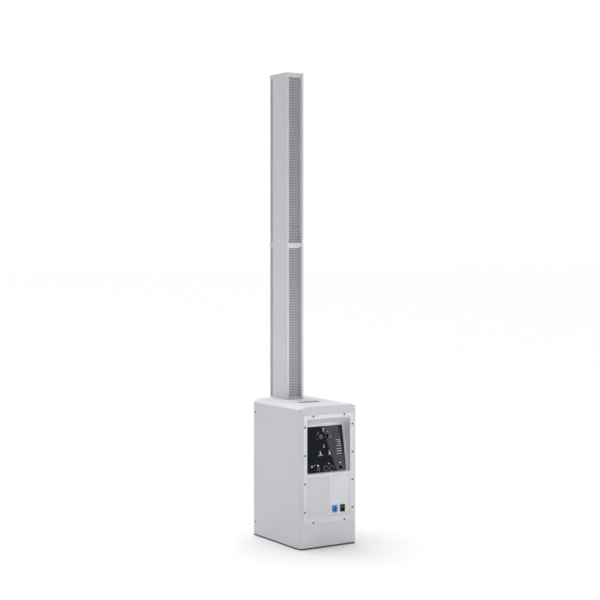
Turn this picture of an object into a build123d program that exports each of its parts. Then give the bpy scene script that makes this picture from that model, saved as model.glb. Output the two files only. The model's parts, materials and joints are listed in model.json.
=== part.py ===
from build123d import *
import os
from math import atan2, cos, degrees, hypot, pi, radians, sin

# Column loudspeaker system: two stacked column segments on a slim powered subwoofer.
# Millimetres. +Z up, the listening side faces -Y and the amplifier panel faces +Y. The dimensions are
# laid out from one drawing origin; each piece is then moved by SYSTEM_SHIFT, so that the finished
# system's origin lies on the floor under its centre.

# Subwoofer cabinet
CABINET_WIDTH = 285.0
CABINET_DEPTH = 384.8
CABINET_FRONT = -188.5
CABINET_TOP = 588.5
SHOULDER_Z = 577.0
SHOULDER_WIDTH = 32.0
SHOULDER_RADIUS = 9.0
CORNER_RADIUS = 18.0
EDGE_RADIUS = 3.0
WALL = 15.0
TOP_WALL = 18.0
FOOT_HEIGHT = 2.0
BASE_THICKNESS = 4.0
BASE_INSET = 2.0
FOOT_INSET = 34.0
FOOT_RADIUS = 20.0
FIT_GAP = 0.2

# Rear amplifier panel
PANEL_HALF_WIDTH = 124.0
PANEL_BOTTOM = 101.8
PANEL_TOP = 553.0
PANEL_PROUD = 1.6
PANEL_THICKNESS = 3.0
GASKET_THICKNESS = 1.0
PANEL_LIP = 12.0
PANEL_CORNER = 6.0
PANEL_EDGE_RADIUS = 1.0
SCREW_HEAD_RADIUS = 4.0
SCREW_HEAD_HEIGHT = 1.2
SCREW_SHANK_RADIUS = 2.2
SCREW_HOLE_RADIUS = 2.4
SCREW_BITE = 12.0
SCREW_KEY_RADIUS = 1.5
SCREW_KEY_DEPTH = 0.9
SIDE_SCREW_X = 118.0
SIDE_SCREW_HEIGHTS = (154.7, 270.7, 387.0, 504.0)
END_SCREW_X = 77.0
END_SCREW_HEIGHTS = (108.3, 546.8)

# Console recess and its glass
RECESS_HALF_WIDTH = 107.3
RECESS_TOP = 536.0
RECESS_CORNER = 8.0
CEILING_BACK_Z = 508.0
LEDGE_Z = 307.5
SIDE_DRAFT = 1.5
GLASS_BOTTOM_Z = 310.0
GLASS_BOTTOM_DEPTH = 16.0
GLASS_TOP_Z = 497.0
GLASS_TOP_DEPTH = 47.5
GLASS_HALF_WIDTH = 97.0
GLASS_RADIUS = 7.0
GLASS_THICKNESS = 3.0
GLASS_PROUD = 0.8
WINDOW_MARGIN = (7.0, 3.5)
WINDOW_RADIUS = 3.0

# Console controls: x, and distance s up the glass from its bottom edge
KNOB_PLACES = {"left_knob": (23.8, 146.0), "right_knob": (-22.2, 146.0)}
KNOB_RADIUS = 10.5
KNOB_BOTTOM = 1.6
KNOB_HEIGHT = 15.0
KNOB_EDGE_RADIUS = 1.5
KNOB_FLUTES = 18
FLUTE_RADIUS = 1.1
POINTER_WIDTH = 1.2
SHAFT_RADIUS = 3.0
SHAFT_RECESS = 3.0
RUNNING_CLEARANCE = 0.05
BUSH_RADIUS = 4.5
ENCODER_SIZE = 13.0
BUTTON_PLACES = {"left_button": (23.2, 78.0), "right_button": (-22.0, 77.7)}
BUTTON_RADIUS = 3.5
BUTTON_GAP = 0.5
BUTTON_PROUD = 1.8
COLLAR_WIDTH = 1.5
COMBO_PLACES = ((2.8, 13.6), (-26.0, 13.6))
LINK_PLACE = (-70.4, 13.6)
SOCKET_RADIUS = 9.5
SOCKET_BORE = 8.0
SOCKET_PROUD = 1.0
SOCKET_DEPTH = 24.0
JACK_PLACE = (40.1, 13.6)
JACK_RADIUS = 5.0
LINK_PINS = ((-3.8, 2.2), (3.8, 2.2), (0, -4.4))
PIN_RADIUS = 1.2
LAMP_PLACES = ((-0.3, 172.5), (3.4, 105.8), (-61.5, 128.2), (-61.5, 104.6), (-61.5, 91.3),
               (-61.5, 81.4), (-61.5, 70.6))
LAMP_RADIUS = 1.5
BOARD_WIDTH = 160.0
BOARD_LENGTH = 136.0
BOARD_MIDDLE = 108.0

# Sunk lower bay with the heat sink, the inlet and the switch
BAY_HALF_WIDTH = 107.0
BAY_BOTTOM = 125.0
BAY_TOP = 300.0
BAY_DEPTH = 3.5
FIN_COUNT = 11
FIN_PITCH = 10.0
FIN_WIDTH = 3.6
FIN_FIRST_X = -1.0
FIN_BOTTOM = 138.0
FIN_TOP = 291.0
FIN_DEPTH = 2.5
FIN_FLOOR_DEPTH = 4.3
FIN_TIP_RADIUS = 1.2
SINK_MARGIN = 2.1
SINK_PLATE = 5.0
INLET_X = -31.0
SWITCH_X = -70.0
MAINS_Z = 155.0
INLET_SIZE = (26.0, 31.0)
INLET_HOLE = 12.0
INLET_RADIUS = 11.6
INLET_BORE = 10.2
INLET_CENTRE = 4.6
INLET_SCREWS = ((-9.5, 12.0), (9.5, -12.0))
SWITCH_SIZE = (24.0, 31.0)
SWITCH_BODY = (10.0, 13.5)
SWITCH_POCKET = (8.0, 12.3)
MAINS_FLANGE = 2.0
ROCKER_TILT = 8.0
ROCKER_AXIS = -1.0
ROCKER_OUTLINE = ((3.0, 11.2), (-4.0, 9.0), (-4.0, -9.0), (3.0, -11.2), (0.8, 0.0))
TRUNNION_RADIUS = 1.2
TRUNNION_LENGTH = 18.2

# Electronics behind the panel, as spans in x, y and z
SUPPLY_SPANS = (-106.0, -14.0, 122.0, 178.0, 186.0, 296.0)
AMPLIFIER_BOARD_SPANS = (-4.0, 100.0, 150.0, 152.0, 136.0, 294.0)
SPREADER_X = (4.0, 92.0)
SPREADER_Z = (160.0, 270.0)
COIL_XS = (24.0, 52.0, 80.0)
COIL_ZS = (180.0, 240.0)
COIL_RADIUS = 11.0
COIL_LENGTH = 12.0

# Woofers, in the front baffle
BAFFLE_FRONT = -164.0
BAFFLE_THICKNESS = 18.0
WOOFER_HEIGHTS = {"upper_woofer": 370.0, "lower_woofer": 145.0}
WOOFER_RADIUS = 105.0
WOOFER_HOLE = 92.0
WOOFER_SCREW_CIRCLE = 98.0
WOOFER_SCREWS = 8
BASKET_WINDOWS = 4
PORT_X = 85.0
PORT_Z = 520.0
PORT_RADIUS = 30.0
PORT_WALL = 2.5
PORT_LENGTH = 120.0
GRILLE_INSET = 2.0
GRILLE_GAP = 0.5
GRILLE_RETURN = 14.0
GRILLE_SCREW_Y = -164.6
GRILLE_SCREW_HEIGHTS = (58.7, 534.0)
SHEET = 1.5
FOAM_THICKNESS = 2.0

# Woofer outlines: radius and height, with height 0 on the baffle's front face
FRAME_OUTLINE = ((84, 0), (84, 5), (WOOFER_RADIUS, 5), (WOOFER_RADIUS, 0), (91.5, 0), (63, -52),
                 (63, -58), (30, -58), (30, -55.5), (60.5, -55.5), (60.5, -51.5), (84, -8))
MAGNET_OUTLINE = ((0, -100), (62, -100), (62, -58), (22, -58), (22, -92), (17, -92), (17, -56), (0, -56))
CONE_OUTLINE = ((72.5, 5), (74.5, 5), (74.5, 3.6), (20.5, -29), (19.6, -29), (19.6, -66), (18.9, -66),
                (18.9, -26.5), (22, -25.6))
DUST_CAP_OUTLINE = ((0, -12.5), (13, -15), (25, -23.8), (23.5, -25.2), (12.5, -16.4), (0, -14))
ROLL_RADIUS = 79.0
ROLL_HEIGHT = 5.0

# Handle recess behind the column
HANDLE_HALF_WIDTH = 52.0
HANDLE_FRONT = 26.0
HANDLE_BACK = 64.0
HANDLE_GRIP = 20.0
HANDLE_DEPTH = 46.0
HANDLE_WALL = 3.0
HANDLE_RADIUS = 6.0

# Column segments
COLUMN_HALF_WIDTH = 43.8
COLUMN_BACK = -65.1
COLUMN_CAP_FRONT = -209.0
COLUMN_GRILLE_FRONT = -205.5
PROFILE_FRONT = -180.1
JOINT_Z = 1256.5
SYSTEM_TOP = 2000.0
PROFILE_WALL = 2.5
BACK_CORNER = 5.0
FRONT_CORNER = 3.0
JOINT_CAP = 7.0
FOOT_CAP = 3.5
CROWN_CAP = 13.0
REAR_OPENING = 32.5
REAR_RECESS = 13.0
COLUMN_SHEET = 1.2
CLOTH_THICKNESS = 1.0
GRILLE_SIDE_INSET = 0.8
COLUMN_BAFFLE = 12.0
DRIVER_PITCH = 98.0
DRIVER_COUNT = 6
DRIVER_HOLE = 33.7
DRIVER_FLANGE = 78.0
WEB_WINDOW = 28.0
WEB_BAR = 8.0

# Column drivers: radius and height, with height 0 on the baffle's front face
BASKET_OUTLINE = ((33.5, 2), (32.0, 2), (32.0, 0), (23, -15), (23, -20), (9, -20), (9, -34), (0, -34),
                  (0, -36), (25, -36), (25, -14), (33.5, 0))
DRIVER_CONE_OUTLINE = ((0, -5.5), (6, -6.5), (10.5, -10), (26.5, 0.5), (27, 2), (29, 3.6), (31.2, 2.0),
                       (31.8, 2.0), (31.8, 1.0), (30.6, 1.0), (29, 2.4), (27.7, 1.2), (27.2, -0.5),
                       (10.5, -11.6), (0, -8))
FLANGE_HOLE = 33.0
LOWER_FIRST_DRIVER = 62.0
UPPER_FIRST_DRIVER = 58.0
HORN_SLOT = (126.0, 20.0)
HORN_SLOT_HALF_WIDTH = 20.0
HORN_HALF_WIDTH = 36.0
HORN_LAP = 15.0
HORN_PROUD = 6.0
HORN_DEPTH = 30.0
MOTOR_RADIUS = 27.0
MOTOR_DEPTH = 26.0
MOTOR_CAP_RADIUS = 18.0
MOTOR_CAP_DEPTH = 8.0

# Spigots and the sockets that take them
SOCKET_FLOOR = 515.0
SOCKET_WALL = 3.5
SOCKET_BASE = 5.0
SOCKET_FLANGE = (43.0, -143.0, -69.0)
SPIGOT_HALF = 36.0
SPIGOT_FRONT = -136.0
SPIGOT_BACK = -76.0
SPIGOT_WALL = 4.0
HEAD_SOCKET_WALL = 3.0
BOTTOM_CLEARANCE = 2.0
PLUG_CLEARANCE = 0.5
PLUG_HEIGHT = 18.0
BLADE_XS = (-16.5, -5.5, 5.5, 16.5)
BLADE_SIZE = (6.0, 1.5, 10.0)
BLADE_CLEARANCE = 1.0

# Planes worked out from the dimensions above
CABINET_BACK = CABINET_FRONT + CABINET_DEPTH
CABINET_BOTTOM = FOOT_HEIGHT + BASE_THICKNESS
HALF_WIDTH = CABINET_WIDTH / 2
PANEL_FACE = CABINET_BACK + PANEL_PROUD
PANEL_BACK = PANEL_FACE - PANEL_THICKNESS
BAY_FLOOR = PANEL_FACE - BAY_DEPTH
BAY_REAR = BAY_FLOOR - PANEL_THICKNESS
GLASS_TILT = degrees(atan2(GLASS_TOP_DEPTH - GLASS_BOTTOM_DEPTH, GLASS_TOP_Z - GLASS_BOTTOM_Z))
GLASS_LENGTH = hypot(GLASS_TOP_DEPTH - GLASS_BOTTOM_DEPTH, GLASS_TOP_Z - GLASS_BOTTOM_Z)
GLASS_NORMAL = (0, cos(radians(GLASS_TILT)), sin(radians(GLASS_TILT)))
CONSOLE = Plane(origin=(0, PANEL_FACE - GLASS_BOTTOM_DEPTH, GLASS_BOTTOM_Z), x_dir=(-1, 0, 0),
                z_dir=GLASS_NORMAL)
BAFFLE_BACK = BAFFLE_FRONT + BAFFLE_THICKNESS
SYSTEM_SHIFT = -(COLUMN_CAP_FRONT + PANEL_FACE + SCREW_HEAD_HEIGHT) / 2
LOWER_SPIGOT = (SPIGOT_HALF, SPIGOT_FRONT, SPIGOT_BACK, CABINET_TOP - SOCKET_FLOOR - BOTTOM_CLEARANCE)
UPPER_SPIGOT = (26.0, -140.0, -92.0, 30.0)

# Depths behind the glass
ENCODER_TOP = -4.5
BOARD_FRONT = -14.4
BOARD_BACK = -16.0


def block(x0, x1, y0, y1, z0, z1):
    """Box between two corners."""
    return Pos((x0 + x1) / 2, (y0 + y1) / 2, (z0 + z1) / 2) * Box(x1 - x0, y1 - y0, z1 - z0)


def prism_up(half_width, y0, y1, z0, z1, radius):
    """Upright prism, rounded in plan."""
    outline = RectangleRounded(2 * half_width, y1 - y0, radius)
    return Pos(0, (y0 + y1) / 2, z0) * extrude(outline, z1 - z0)


def along_y(outline, y0, y1):
    """Prism of an outline drawn in x and z, between two depths."""
    return extrude(Plane(origin=(0, y1, 0), x_dir=(1, 0, 0), z_dir=(0, -1, 0)) * outline, y1 - y0)


def along_x(points, x0, x1):
    """Prism of an outline drawn in y and z, between two widths."""
    return extrude(Plane(origin=(x0, 0, 0), x_dir=(0, 1, 0), z_dir=(1, 0, 0)) * points, x1 - x0)


def rod_y(x, z, y0, y1, radius):
    """Round bar along Y."""
    return Pos(x, y0, z) * Rot(-90, 0, 0) * Cylinder(
        radius, y1 - y0, align=(Align.CENTER, Align.CENTER, Align.MIN))


def turned(points):
    """Solid of revolution from radius and height pairs; height runs along +Z."""
    return revolve(Plane.XZ * Polygon(*points, align=None), Axis.Z)


def facing_front(solid, x, y, z):
    """Places a turned solid with its height towards the listener."""
    return Pos(x, y, z) * Rot(90, 0, 0) * solid


def on_glass(x, s, height, solid):
    """Places a solid drawn upright on the glass, at x and s, raised by height."""
    return CONSOLE.offset(height).location * Pos(-x, s, 0) * solid


def peg(radius, low, high):
    """Upright round bar between two heights."""
    return Pos(0, 0, low) * Cylinder(radius, high - low, align=(Align.CENTER, Align.CENTER, Align.MIN))


def tube(outer, inner, low, high):
    """Upright round tube between two heights."""
    return peg(outer, low, high) - peg(inner, low - 1, high + 1)


def group(solids):
    """Separate solids kept together in one node."""
    return Compound(children=[part for solid in solids for part in solid.solids()])


# ---- Subwoofer cabinet ----

def cabinet_outline(inset=0.0):
    """Front view of the cabinet: upright sides and a bevelled, softly rounded top."""
    half = HALF_WIDTH - inset
    top = CABINET_TOP - inset
    shoulder = SHOULDER_Z - inset
    corner = HALF_WIDTH - SHOULDER_WIDTH
    outline = Polygon((-half, CABINET_BOTTOM), (half, CABINET_BOTTOM), (half, shoulder), (corner, top),
                      (-corner, top), (-half, shoulder), align=None)
    soft = [v for v in outline.vertices() if v.Y > CABINET_BOTTOM + 1]
    return fillet(soft, SHOULDER_RADIUS)


def cabinet_shell():
    """Hollow cabinet, open in front, with openings for the panel, the column and the handle."""
    outer = along_y(cabinet_outline(), CABINET_FRONT, CABINET_BACK)
    rims = [e for e in outer.edges() if e.center().Z > CABINET_BOTTOM + 1
            and min(abs(e.center().Y - CABINET_BACK), abs(e.center().Y - CABINET_FRONT)) < 0.01]
    outer = fillet(rims, EDGE_RADIUS)
    outer = outer & prism_up(HALF_WIDTH, CABINET_FRONT, CABINET_BACK, 0, CABINET_TOP + 1, CORNER_RADIUS)
    inner_half = HALF_WIDTH - WALL
    room = block(-inner_half, inner_half, CABINET_FRONT - 1, CABINET_BACK - WALL,
                 CABINET_BOTTOM + WALL, CABINET_TOP - TOP_WALL)
    shell = outer - room
    lip = PANEL_LIP
    opening = block(-PANEL_HALF_WIDTH + lip, PANEL_HALF_WIDTH - lip, CABINET_BACK - WALL - 1,
                    CABINET_BACK + 1, PANEL_BOTTOM + lip, PANEL_TOP - lip)
    rebate = along_y(panel_outline(2 * FIT_GAP), PANEL_BACK - GASKET_THICKNESS, CABINET_BACK + 1)
    reach = PLUG_CLEARANCE + SOCKET_WALL + FIT_GAP
    socket = block(-SPIGOT_HALF - reach, SPIGOT_HALF + reach, SPIGOT_FRONT - reach, SPIGOT_BACK + reach,
                   CABINET_TOP - TOP_WALL - 1, CABINET_TOP + 1)
    half, front, back = SOCKET_FLANGE
    flange = block(-half - FIT_GAP, half + FIT_GAP, front - FIT_GAP, back + FIT_GAP,
                   CABINET_TOP - PANEL_THICKNESS, CABINET_TOP + 1)
    slot = prism_up(HANDLE_HALF_WIDTH + HANDLE_WALL, HANDLE_FRONT - HANDLE_GRIP - HANDLE_WALL,
                    HANDLE_BACK + HANDLE_WALL, CABINET_TOP - TOP_WALL - 1, CABINET_TOP + 1,
                    HANDLE_RADIUS + HANDLE_WALL)
    shell = shell - opening - rebate - socket - flange - slot
    for side in (-1, 1):
        for z in GRILLE_SCREW_HEIGHTS:
            hole = Pos(side * HALF_WIDTH, GRILLE_SCREW_Y, z) * Rot(0, 90 * side, 0)
            shell = shell - hole * peg(SCREW_HOLE_RADIUS, -2 * WALL, 1)
    return shell


def base_plate():
    """Black plate under the cabinet, set in a little all round."""
    plate = prism_up(HALF_WIDTH - BASE_INSET, CABINET_FRONT + BASE_INSET, CABINET_BACK - BASE_INSET,
                     FOOT_HEIGHT, CABINET_BOTTOM, CORNER_RADIUS - BASE_INSET)
    return plate


def rubber_feet():
    """Four round pads under the base plate."""
    xs = (-HALF_WIDTH + FOOT_INSET, HALF_WIDTH - FOOT_INSET)
    ys = (CABINET_FRONT + FOOT_INSET, CABINET_BACK - FOOT_INSET)
    return group([Pos(x, y, 0) * peg(FOOT_RADIUS, 0, FOOT_HEIGHT) for x in xs for y in ys])


def grille_side_screws():
    """Pan-head screws through the cabinet's sides into the grille's returns."""
    screws = []
    for side in (-1, 1):
        for z in GRILLE_SCREW_HEIGHTS:
            screw = peg(SCREW_SHANK_RADIUS, -WALL - 3, 0) + peg(SCREW_HEAD_RADIUS, 0, SCREW_HEAD_HEIGHT)
            screws.append(Pos(side * HALF_WIDTH, GRILLE_SCREW_Y, z) * Rot(0, 90 * side, 0) * screw)
    return group(screws)


def front_baffle():
    """Board that holds both woofers and the two port tubes."""
    half = HALF_WIDTH - WALL
    board = block(-half, half, BAFFLE_FRONT, BAFFLE_BACK, CABINET_BOTTOM + WALL, CABINET_TOP - TOP_WALL)
    for z in WOOFER_HEIGHTS.values():
        board = board - rod_y(0, z, BAFFLE_FRONT - 1, BAFFLE_BACK + 1, WOOFER_HOLE)
        for x, height in ring(WOOFER_SCREW_CIRCLE, WOOFER_SCREWS):
            board = board - rod_y(x, z + height, BAFFLE_FRONT - 1, BAFFLE_FRONT + SCREW_BITE + 2,
                                  SCREW_SHANK_RADIUS)
    for side in (-1, 1):
        board = board - rod_y(side * PORT_X, PORT_Z, BAFFLE_FRONT - 1, BAFFLE_BACK + 1, PORT_RADIUS)
        for z in GRILLE_SCREW_HEIGHTS:
            board = board - block(side * half - 6, side * half + 6, BAFFLE_FRONT - 1, BAFFLE_FRONT + 5,
                                  z - SCREW_HEAD_RADIUS, z + SCREW_HEAD_RADIUS)
    return board


def ring(radius, count):
    """Evenly spaced places on a circle, the first one half a step from the top."""
    step = 2 * pi / count
    return [(radius * sin((i + 0.5) * step), radius * cos((i + 0.5) * step)) for i in range(count)]


def reflex_ports():
    """Two port tubes glued into the baffle above the woofers."""
    pipes = []
    for side in (-1, 1):
        pipe = rod_y(side * PORT_X, PORT_Z, BAFFLE_FRONT, BAFFLE_FRONT + PORT_LENGTH, PORT_RADIUS)
        bore = rod_y(side * PORT_X, PORT_Z, BAFFLE_FRONT - 1, BAFFLE_FRONT + PORT_LENGTH + 1,
                     PORT_RADIUS - PORT_WALL)
        pipes.append(pipe - bore)
    return group(pipes)


def subwoofer_grille():
    """Steel front with folded returns. Its punched holes are left out here."""
    half = HALF_WIDTH - WALL - GRILLE_GAP
    low = CABINET_BOTTOM + WALL + GRILLE_GAP
    high = CABINET_TOP - TOP_WALL - GRILLE_GAP
    front = CABINET_FRONT + GRILLE_INSET
    back = front + GRILLE_RETURN
    tray = block(-half, half, front, back, low, high)
    return tray - block(-half + SHEET, half - SHEET, front + SHEET, back + 1, low + SHEET, high - SHEET)


def grille_foam():
    """Thin open foam behind the steel front."""
    edge = WALL + GRILLE_GAP + SHEET
    half = HALF_WIDTH - edge
    front = CABINET_FRONT + GRILLE_INSET + SHEET
    return block(-half, half, front, front + FOAM_THICKNESS, CABINET_BOTTOM + edge,
                 CABINET_TOP - TOP_WALL - GRILLE_GAP - SHEET)


# ---- Woofers: heights run from the baffle's front face towards the listener ----

def woofer_frame():
    """Cast frame: mounting flange and a tapering basket."""
    frame = turned(FRAME_OUTLINE)
    for x, y in ring(WOOFER_SCREW_CIRCLE, WOOFER_SCREWS):
        frame = frame - Pos(x, y, 0) * peg(SCREW_HOLE_RADIUS, -1, 6)
    for i in range(BASKET_WINDOWS):
        window = block(50, 100, -24, 24, -46, -14)
        frame = frame - Rot(0, 0, 45 + i * 360 / BASKET_WINDOWS) * window
    return frame


def woofer_magnet():
    """Motor: magnet, plates and pole piece with the voice-coil gap."""
    return turned(MAGNET_OUTLINE)


def woofer_surround():
    """Half-roll rubber edge between the cone and the frame."""
    roll = Pos(ROLL_RADIUS, ROLL_HEIGHT) * (Circle(6.0) - Circle(4.8))
    upper_half = Pos(ROLL_RADIUS, ROLL_HEIGHT + 5) * Rectangle(14, 10)
    return revolve(Plane.XZ * (roll & upper_half), Axis.Z)


def woofer_cone():
    """Cone with its dust cap and voice-coil former."""
    return turned(CONE_OUTLINE) + turned(DUST_CAP_OUTLINE)


def woofer_screws():
    """Machine screws round both woofers' flanges."""
    screw = peg(SCREW_SHANK_RADIUS - 0.1, -SCREW_BITE, 5) + peg(SCREW_HEAD_RADIUS, 5, 8)
    return group([facing_front(Pos(x, y, 0) * screw, 0, BAFFLE_FRONT, z)
                  for z in WOOFER_HEIGHTS.values() for x, y in ring(WOOFER_SCREW_CIRCLE, WOOFER_SCREWS)])


def on_baffle(solid):
    """The same woofer piece at both places."""
    return [facing_front(solid, 0, BAFFLE_FRONT, z) for z in WOOFER_HEIGHTS.values()]


# ---- Top of the cabinet ----

def handle_cup():
    """Moulded grip: a slot in the top with a finger space under its front edge."""
    wall = HANDLE_WALL
    mouth_floor = CABINET_TOP - TOP_WALL
    outer = prism_up(HANDLE_HALF_WIDTH + wall, HANDLE_FRONT - HANDLE_GRIP - wall, HANDLE_BACK + wall,
                     CABINET_TOP - HANDLE_DEPTH - wall, CABINET_TOP - FIT_GAP, HANDLE_RADIUS + wall)
    mouth = prism_up(HANDLE_HALF_WIDTH, HANDLE_FRONT, HANDLE_BACK, mouth_floor - 4, CABINET_TOP + 1,
                     HANDLE_RADIUS)
    grip = prism_up(HANDLE_HALF_WIDTH, HANDLE_FRONT - HANDLE_GRIP, HANDLE_BACK,
                    CABINET_TOP - HANDLE_DEPTH, mouth_floor - 2, HANDLE_RADIUS)
    return outer - mouth - grip


def column_socket():
    """Cup that takes the column's spigot, with a flange let into the top."""
    wall = SOCKET_WALL
    gap = PLUG_CLEARANCE
    cup = block(-SPIGOT_HALF - gap - wall, SPIGOT_HALF + gap + wall, SPIGOT_FRONT - gap - wall,
                SPIGOT_BACK + gap + wall, SOCKET_FLOOR - SOCKET_BASE, CABINET_TOP)
    half, front, back = SOCKET_FLANGE
    flange = block(-half, half, front, back, CABINET_TOP - PANEL_THICKNESS, CABINET_TOP)
    hole = block(-SPIGOT_HALF - gap, SPIGOT_HALF + gap, SPIGOT_FRONT - gap, SPIGOT_BACK + gap,
                 SOCKET_FLOOR, CABINET_TOP + 1)
    return cup + flange - hole


def blades(y, floor):
    """Flat contacts standing on a socket's floor."""
    width, thickness, height = BLADE_SIZE
    return group([block(x - width / 2, x + width / 2, y - thickness / 2, y + thickness / 2, floor,
                        floor + height) for x in BLADE_XS])


def plug_in_spigot(z0, spigot):
    """Insulator in the bottom of a spigot, with slots for the blades."""
    half, y0, y1, length = spigot
    wall = SPIGOT_WALL
    low = z0 - length
    body = block(-half + wall, half - wall, y0 + wall, y1 - wall, low, low + PLUG_HEIGHT)
    width, thickness, height = BLADE_SIZE
    middle = (y0 + y1) / 2
    across = width / 2 + BLADE_CLEARANCE
    through = thickness / 2 + BLADE_CLEARANCE
    for x in BLADE_XS:
        body = body - block(x - across, x + across, middle - through, middle + through, low - 1,
                            low + height + BOTTOM_CLEARANCE)
    return body


# ---- Rear panel and console ----

def recess_volume(grow=0.0):
    """Space of the console recess: sloped back, sloped ceiling and drafted sides."""
    face = PANEL_FACE
    rise = (GLASS_TOP_DEPTH - GLASS_BOTTOM_DEPTH) / (GLASS_TOP_Z - GLASS_BOTTOM_Z)
    back = GLASS_BOTTOM_DEPTH + (CEILING_BACK_Z - GLASS_BOTTOM_Z) * rise
    out = 3.0
    lip = LEDGE_Z - out * (GLASS_BOTTOM_Z - LEDGE_Z) / GLASS_BOTTOM_DEPTH
    ceiling = RECESS_TOP + out * (RECESS_TOP - CEILING_BACK_Z) / back
    side = Polygon((face + out, ceiling), (face - back, CEILING_BACK_Z),
                   (face - GLASS_BOTTOM_DEPTH, GLASS_BOTTOM_Z), (face + out, lip), align=None)
    half = RECESS_HALF_WIDTH + SIDE_DRAFT * out / back
    deep = RECESS_HALF_WIDTH - SIDE_DRAFT * (back + out) / back
    plan = Polygon((-half, face + out), (-deep, face - back - out), (deep, face - back - out),
                   (half, face + out), align=None)
    if grow:
        side = offset(side, grow, kind=Kind.INTERSECTION)
        plan = offset(plan, grow, kind=Kind.INTERSECTION)
    return along_x(side, -half - 10, half + 10) & (
        Pos(0, 0, lip - 20) * extrude(plan, ceiling - lip + 40))


def bay_volume():
    """Sunk bay with bevelled edges."""
    face = Plane(origin=(0, PANEL_FACE, (BAY_TOP + BAY_BOTTOM) / 2), x_dir=(1, 0, 0), z_dir=(0, -1, 0))
    outline = Rectangle(2 * BAY_HALF_WIDTH, BAY_TOP - BAY_BOTTOM)
    return extrude(face * outline, BAY_DEPTH, taper=45)


def panel_outline(grow=0.0):
    """Outline of the panel's flange, drawn in x and z."""
    outline = RectangleRounded(2 * (PANEL_HALF_WIDTH + grow), PANEL_TOP - PANEL_BOTTOM + 2 * grow,
                               PANEL_CORNER + grow)
    return Pos(0, (PANEL_TOP + PANEL_BOTTOM) / 2) * outline


def rear_panel():
    """Moulded panel: flange, console recess, sunk bay and every cut-out."""
    panel = along_y(panel_outline(), PANEL_BACK, PANEL_FACE)
    front_edges = [e for e in panel.edges() if abs(e.center().Y - PANEL_FACE) < 0.01]
    panel = fillet(front_edges, PANEL_EDGE_RADIUS)
    recess = recess_volume()
    corners = [e for e in recess.edges() if abs(e.center().X) > RECESS_HALF_WIDTH - 6
               and CEILING_BACK_Z - 1 < e.center().Z < RECESS_TOP - 1 and e.length > 20]
    recess = fillet(corners, RECESS_CORNER)
    backing = recess_volume(PANEL_THICKNESS) & block(-PANEL_HALF_WIDTH, PANEL_HALF_WIDTH, 0,
                                                     PANEL_BACK + 0.5, PANEL_BOTTOM, PANEL_TOP)
    tray = block(-BAY_HALF_WIDTH - 1, BAY_HALF_WIDTH + 1, BAY_REAR, PANEL_BACK + 0.5,
                 BAY_BOTTOM - 2, BAY_TOP + 3)
    panel = panel + backing + tray - recess - bay_volume()
    glass = RectangleRounded(2 * (GLASS_HALF_WIDTH + FIT_GAP), GLASS_LENGTH + 2 * FIT_GAP, GLASS_RADIUS)
    seat = on_glass(0, GLASS_LENGTH / 2, -(GLASS_THICKNESS - GLASS_PROUD), extrude(glass, 10))
    side_margin, end_margin = WINDOW_MARGIN
    hole = RectangleRounded(2 * (GLASS_HALF_WIDTH - side_margin), GLASS_LENGTH - 2 * end_margin,
                            WINDOW_RADIUS)
    window = on_glass(0, GLASS_LENGTH / 2, -10, extrude(hole, 20))
    panel = panel - seat - window
    left, right = sink_sides()
    gap = 2 * FIT_GAP
    panel = panel - block(left - gap, right + gap, 0, PANEL_FACE + 1, FIN_BOTTOM - gap, FIN_TOP + gap)
    panel = panel - rod_y(INLET_X, MAINS_Z, BAY_REAR - 5, PANEL_FACE, INLET_HOLE)
    across, up = SWITCH_BODY
    panel = panel - block(SWITCH_X - across - FIT_GAP, SWITCH_X + across + FIT_GAP, BAY_REAR - 5,
                          PANEL_FACE, MAINS_Z - up - FIT_GAP, MAINS_Z + up + FIT_GAP)
    for x, z in screw_places():
        panel = panel - rod_y(x, z, PANEL_BACK - 5, PANEL_FACE + 1, SCREW_HOLE_RADIUS)
    return panel


def screw_places():
    """Where the twelve panel screws stand."""
    sides = [(side * SIDE_SCREW_X, z) for side in (-1, 1) for z in SIDE_SCREW_HEIGHTS]
    ends = [(side * END_SCREW_X, z) for side in (-1, 1) for z in END_SCREW_HEIGHTS]
    return sides + ends


def panel_screws():
    """Domed socket screws that hold the panel to the cabinet."""
    screw = peg(SCREW_SHANK_RADIUS, -PANEL_THICKNESS - SCREW_BITE, 0)
    screw = screw + peg(SCREW_HEAD_RADIUS, 0, SCREW_HEAD_HEIGHT)
    key = extrude(RegularPolygon(SCREW_KEY_RADIUS, 6), 2)
    screw = screw - Pos(0, 0, SCREW_HEAD_HEIGHT - SCREW_KEY_DEPTH) * key
    return group([Pos(x, PANEL_FACE, z) * Rot(-90, 0, 0) * screw for x, z in screw_places()])


def panel_gasket():
    """Foam ring between the panel's flange and the cabinet."""
    inner = Pos(0, (PANEL_TOP + PANEL_BOTTOM) / 2) * Rectangle(
        2 * (PANEL_HALF_WIDTH - PANEL_LIP), PANEL_TOP - PANEL_BOTTOM - 2 * PANEL_LIP)
    gasket = along_y(panel_outline() - inner, PANEL_BACK - GASKET_THICKNESS, PANEL_BACK)
    for x, z in screw_places():
        gasket = gasket - rod_y(x, z, PANEL_BACK - 5, PANEL_FACE + 1, SCREW_HOLE_RADIUS)
    return gasket


def sink_sides():
    """Left and right limits of the heat sink's finned face."""
    return FIN_FIRST_X - SINK_MARGIN, FIN_FIRST_X + (FIN_COUNT - 1) * FIN_PITCH + SINK_MARGIN


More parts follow.
